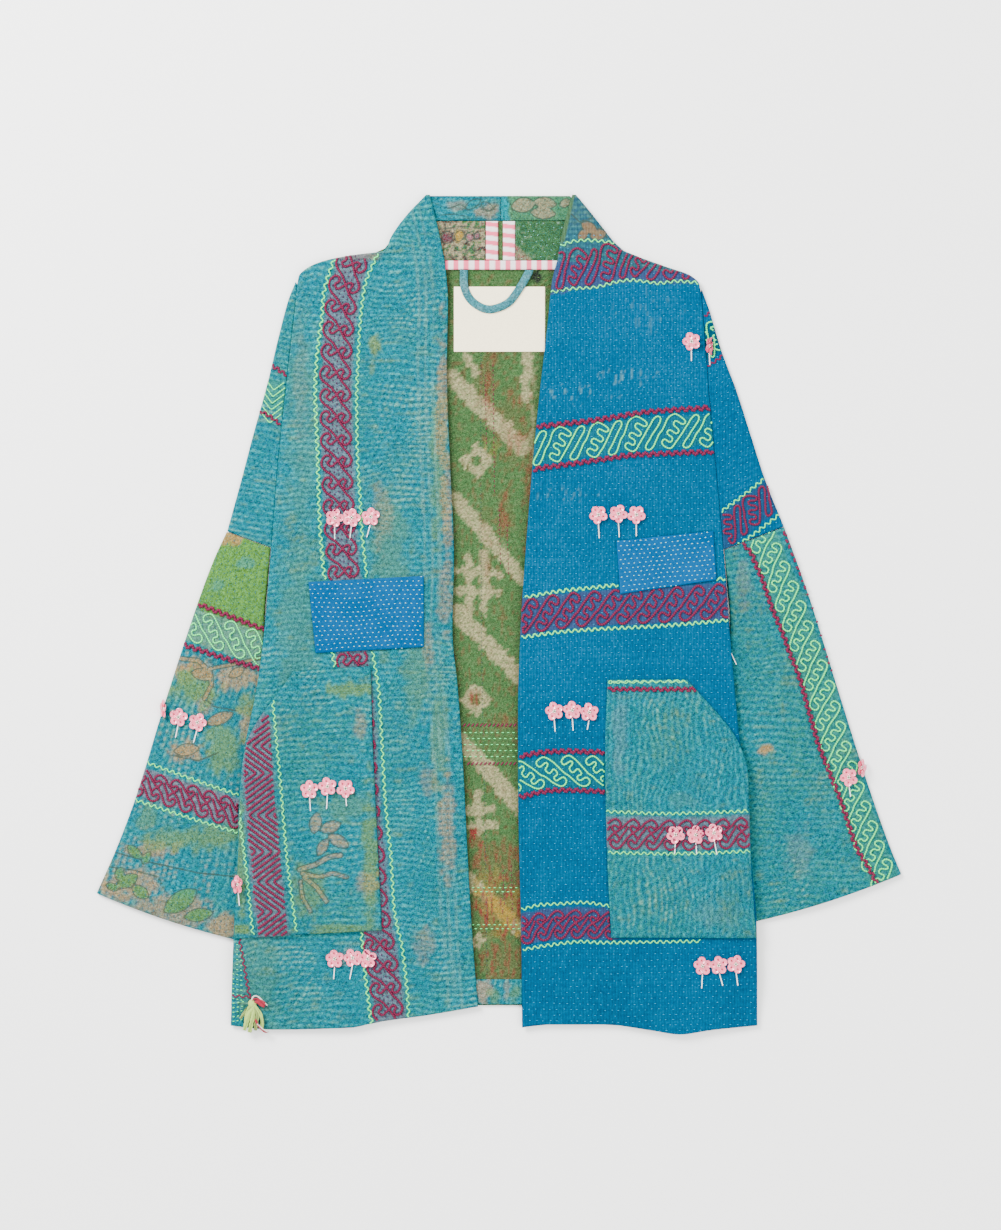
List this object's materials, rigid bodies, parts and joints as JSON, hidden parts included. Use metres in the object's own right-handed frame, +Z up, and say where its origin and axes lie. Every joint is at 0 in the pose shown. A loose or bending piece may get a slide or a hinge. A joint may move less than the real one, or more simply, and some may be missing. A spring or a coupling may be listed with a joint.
{
  "type": "sequin jacket",
  "caption": "Open-front quilted patchwork jacket laid flat, with wide sleeves, grown-on collar, patch pockets, embroidered bands and sequin flowers.",
  "frame": {"origin": "on the floor, midway between the two cuffs and midway between the collar's top and the lowest point of the hem", "axes": "+Y from hem to collar, +Z up from the floor through the front, +X towards the wearer's left sleeve"},
  "size_m": [0.804, 0.8384, 0.0154],
  "materials": {
    "teal_quilt": "worn matte cotton, mottled teal, quilted in rows",
    "blue_quilt": "worn matte cotton, strong blue, quilted with pale stitches",
    "floral_quilt": "worn matte cotton, green, teal and tan print",
    "green_lining_cloth": "worn matte cotton, green with blurred beige figures",
    "collar_print": "worn matte cotton, green with outlined tan blotches",
    "facing_print": "worn matte cotton, speckled tan",
    "facing_green": "worn matte cotton, dark green",
    "gingham": "matte cotton, pink and white checks",
    "label_cloth": "smooth woven cream cotton, bare",
    "loop_cloth": "matte folded cotton strip",
    "bright_patch": "matte cotton, bright blue, close white stitches",
    "rag_strips": "frayed cotton strips in yellow-green, dark red and white",
    "red_thread": "dark red cotton embroidery thread",
    "green_thread": "pale green cotton embroidery thread",
    "quilting_thread": "pale cotton quilting thread",
    "sequins": "glossy pearl pink sequins",
    "bugle_beads": "white glass beads"
  },
  "bodies": {
    "root": {"back_panel": "green_lining_cloth", "front_right": "teal_quilt", "front_left": "blue_quilt", "sleeve_upper_right": "teal_quilt", "sleeve_upper_left": "blue_quilt", "sleeve_lower_right": "floral_quilt", "sleeve_lower_left": "teal_quilt", "collar_back_right": "teal_quilt", "collar_back_left": "collar_print", "neck_facing_right": "facing_print", "neck_facing_left": "facing_green", "seam_binding_right": "gingham", "seam_binding_left": "gingham", "neck_binding": "gingham", "label": "label_cloth", "hanger_loop": "loop_cloth", "back_hem_tape": "teal_quilt", "pocket_right": "teal_quilt", "pocket_left": "teal_quilt", "patch_right": "bright_patch", "patch_left": "bright_patch", "tassel": "rag_strips"}
  },
  "joints": []
}
